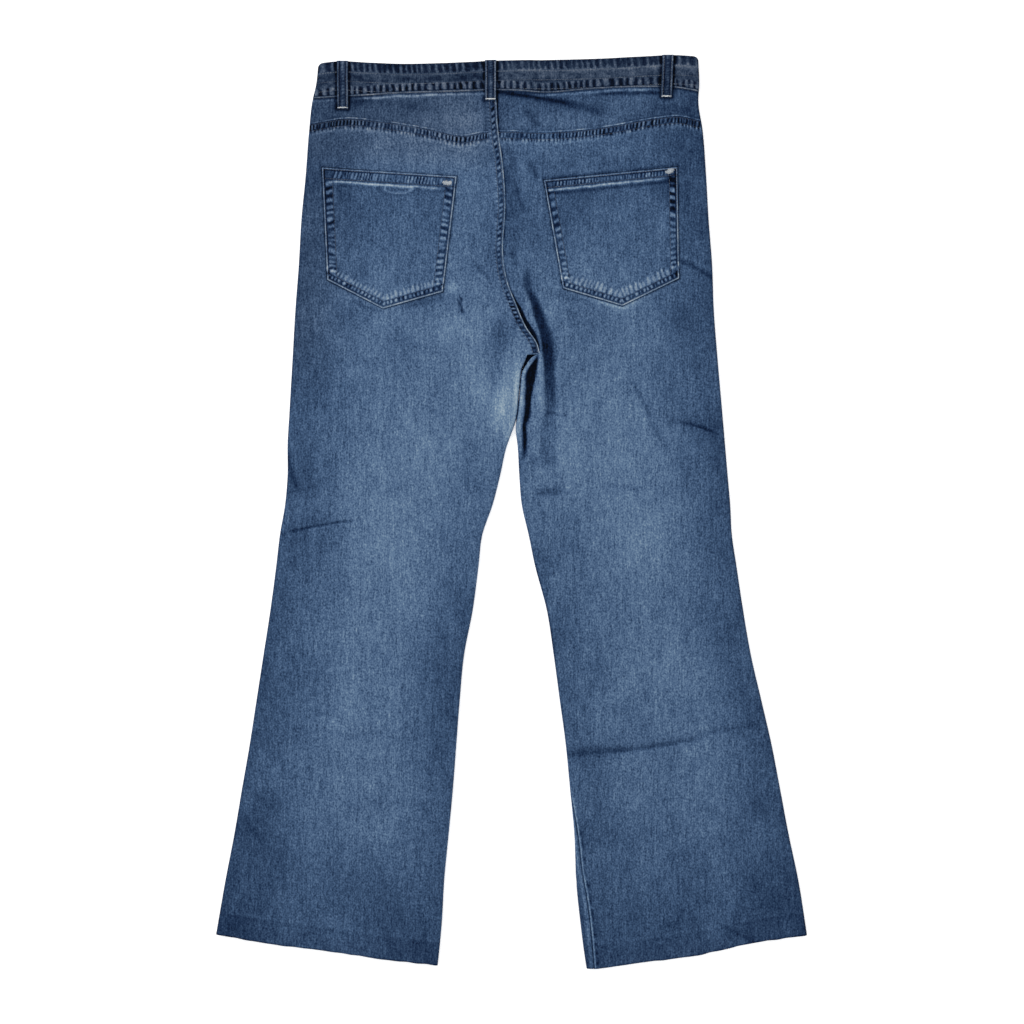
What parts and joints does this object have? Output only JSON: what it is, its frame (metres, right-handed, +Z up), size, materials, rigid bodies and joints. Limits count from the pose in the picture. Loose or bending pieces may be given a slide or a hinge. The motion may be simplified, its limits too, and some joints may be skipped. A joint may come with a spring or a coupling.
{
  "type": "bootcut jeans",
  "caption": "Bootcut jeans laid flat on their front, showing the back yoke, patch pockets, waistband with belt loops, and raw flared hems.",
  "frame": {"origin": "on the floor, under the middle of the laid jeans' bounding box", "axes": "+Z up from the floor, +Y from the hems to the waistband, +X to the wearer's right"},
  "size_m": [0.686, 1.0601, 0.0152],
  "materials": {
    "denim": "washed blue twill, matt, paler down the legs",
    "dark_denim": "darker, less washed twill with puckered seams",
    "thread": "pale greyed sewing thread",
    "button_metal": "dull copper-coloured metal"
  },
  "bodies": {
    "root": {"back_left": "denim", "back_right": "denim", "yoke_left": "denim", "yoke_right": "denim", "pocket_left": "denim", "pocket_right": "denim", "front_left": "denim", "front_right": "denim", "waistband_back": "dark_denim", "waistband_front_left": "dark_denim", "waistband_front_right": "dark_denim", "loop_back_left": "dark_denim", "loop_back_centre": "dark_denim", "loop_back_right": "dark_denim", "loop_front_left": "dark_denim", "loop_front_right": "dark_denim", "waistband_button": "button_metal"}
  },
  "joints": []
}
